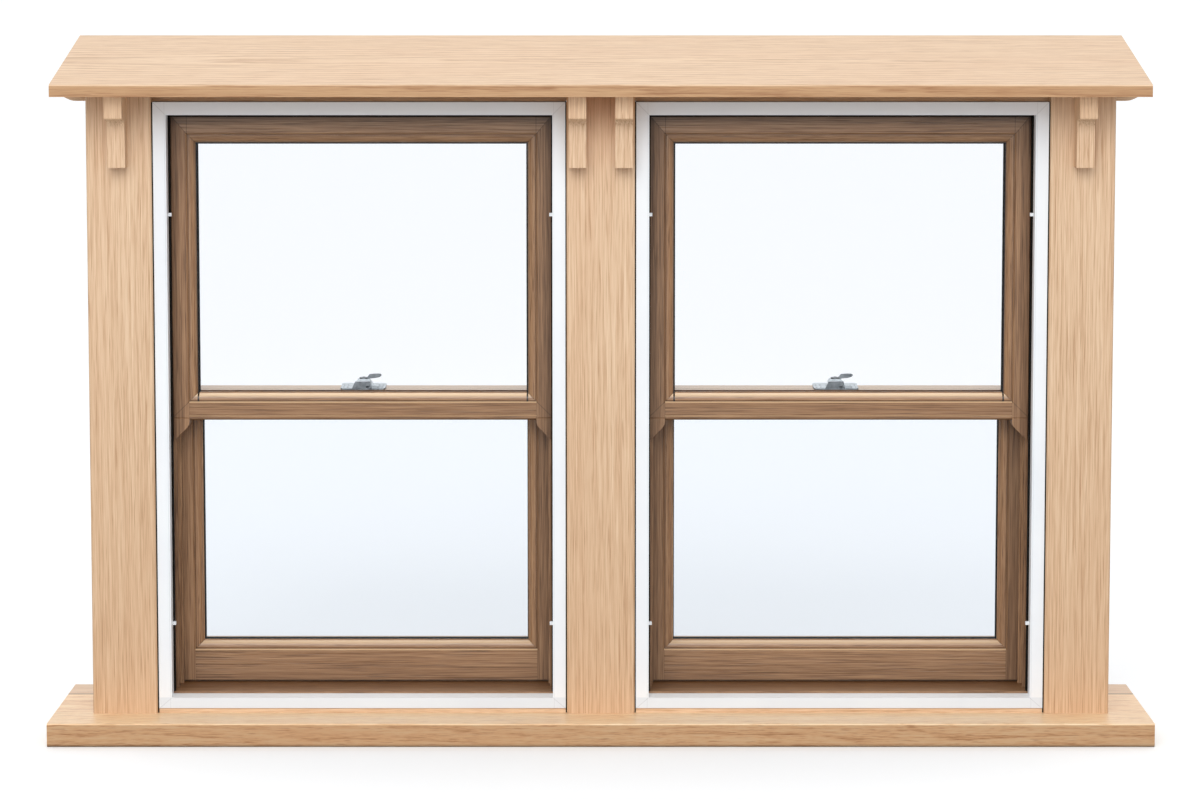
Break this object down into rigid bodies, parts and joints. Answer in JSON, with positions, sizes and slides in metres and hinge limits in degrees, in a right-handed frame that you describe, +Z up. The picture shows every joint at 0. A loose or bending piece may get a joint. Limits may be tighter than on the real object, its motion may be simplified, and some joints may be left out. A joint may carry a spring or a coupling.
{
  "type": "sash window",
  "caption": "Twin double-hung sash window in a pale timber surround with a sloping cap board, corbel brackets, sliding brown sashes, double glazing and cam locks.",
  "frame": {"origin": "under the middle of the base boards, level with their underside", "axes": "+X to the right seen from outside, +Y from outside to the room, +Z up"},
  "size_m": [1.701, 0.38, 1.0826],
  "materials": {
    "pale_timber": "satin pale timber",
    "brown_timber": "satin brown stain",
    "white_trim": "satin white",
    "black_seal": "matt",
    "black_spacer": "matt",
    "glass": "clear",
    "steel": "satin plated",
    "zinc": "zinc plated"
  },
  "bodies": {
    "surround": {"base_board": "pale_timber", "inner_board": "pale_timber", "left_post": "pale_timber", "centre_post": "pale_timber", "right_post": "pale_timber", "head_beam": "pale_timber", "cap_board": "pale_timber", "brackets": "pale_timber", "bedding_strips": "pale_timber", "trim_frames": "white_trim", "trim_clips": "white_trim", "weather_strips": "black_seal", "frame_heads": "brown_timber", "frame_sills": "brown_timber", "frame_beads": "brown_timber", "balance_tubes": "zinc", "left_left_jamb": "brown_timber", "left_right_jamb": "brown_timber", "right_left_jamb": "brown_timber", "right_right_jamb": "brown_timber"},
    "left_upper_sash": {"left_upper_left_stile": "brown_timber", "left_upper_right_stile": "brown_timber", "left_upper_top_rail": "brown_timber", "left_upper_meeting_rail": "brown_timber", "left_upper_beads": "brown_timber", "left_upper_glass": "glass", "left_upper_spacer": "black_spacer", "left_upper_rods": "zinc", "left_keeper": "steel"},
    "left_lower_sash": {"left_lower_left_stile": "brown_timber", "left_lower_right_stile": "brown_timber", "left_lower_meeting_rail": "brown_timber", "left_lower_bottom_rail": "brown_timber", "left_lower_beads": "brown_timber", "left_lower_glass": "glass", "left_lower_spacer": "black_spacer", "left_lower_rods": "zinc", "left_lift": "steel", "left_lock_base": "steel"},
    "left_lock": {"left_lock_lever": "steel"},
    "right_upper_sash": {"right_upper_left_stile": "brown_timber", "right_upper_right_stile": "brown_timber", "right_upper_top_rail": "brown_timber", "right_upper_meeting_rail": "brown_timber", "right_upper_beads": "brown_timber", "right_upper_glass": "glass", "right_upper_spacer": "black_spacer", "right_upper_rods": "zinc", "right_keeper": "steel"},
    "right_lower_sash": {"right_lower_left_stile": "brown_timber", "right_lower_right_stile": "brown_timber", "right_lower_meeting_rail": "brown_timber", "right_lower_bottom_rail": "brown_timber", "right_lower_beads": "brown_timber", "right_lower_glass": "glass", "right_lower_spacer": "black_spacer", "right_lower_rods": "zinc", "right_lift": "steel", "right_lock_base": "steel"},
    "right_lock": {"right_lock_lever": "steel"}
  },
  "joints": [
    {"name": "left_upper_slide", "type": "slide", "parent": "surround", "child": "left_upper_sash", "axis": [0, 0, 1], "range_m": [-0.36, 0]},
    {"name": "left_lower_slide", "type": "slide", "parent": "surround", "child": "left_lower_sash", "axis": [0, 0, 1], "range_m": [0, 0.36]},
    {"name": "left_lock_turn", "type": "hinge", "parent": "left_lower_sash", "child": "left_lock", "pos_m": [-0.373, 0.0625, 0.54], "axis": [0, 0, 1], "range_deg": [0, 180]},
    {"name": "right_upper_slide", "type": "slide", "parent": "surround", "child": "right_upper_sash", "axis": [0, 0, 1], "range_m": [-0.36, 0]},
    {"name": "right_lower_slide", "type": "slide", "parent": "surround", "child": "right_lower_sash", "axis": [0, 0, 1], "range_m": [0, 0.36]},
    {"name": "right_lock_turn", "type": "hinge", "parent": "right_lower_sash", "child": "right_lock", "pos_m": [0.369, 0.0625, 0.54], "axis": [0, 0, 1], "range_deg": [0, 180]}
  ]
}
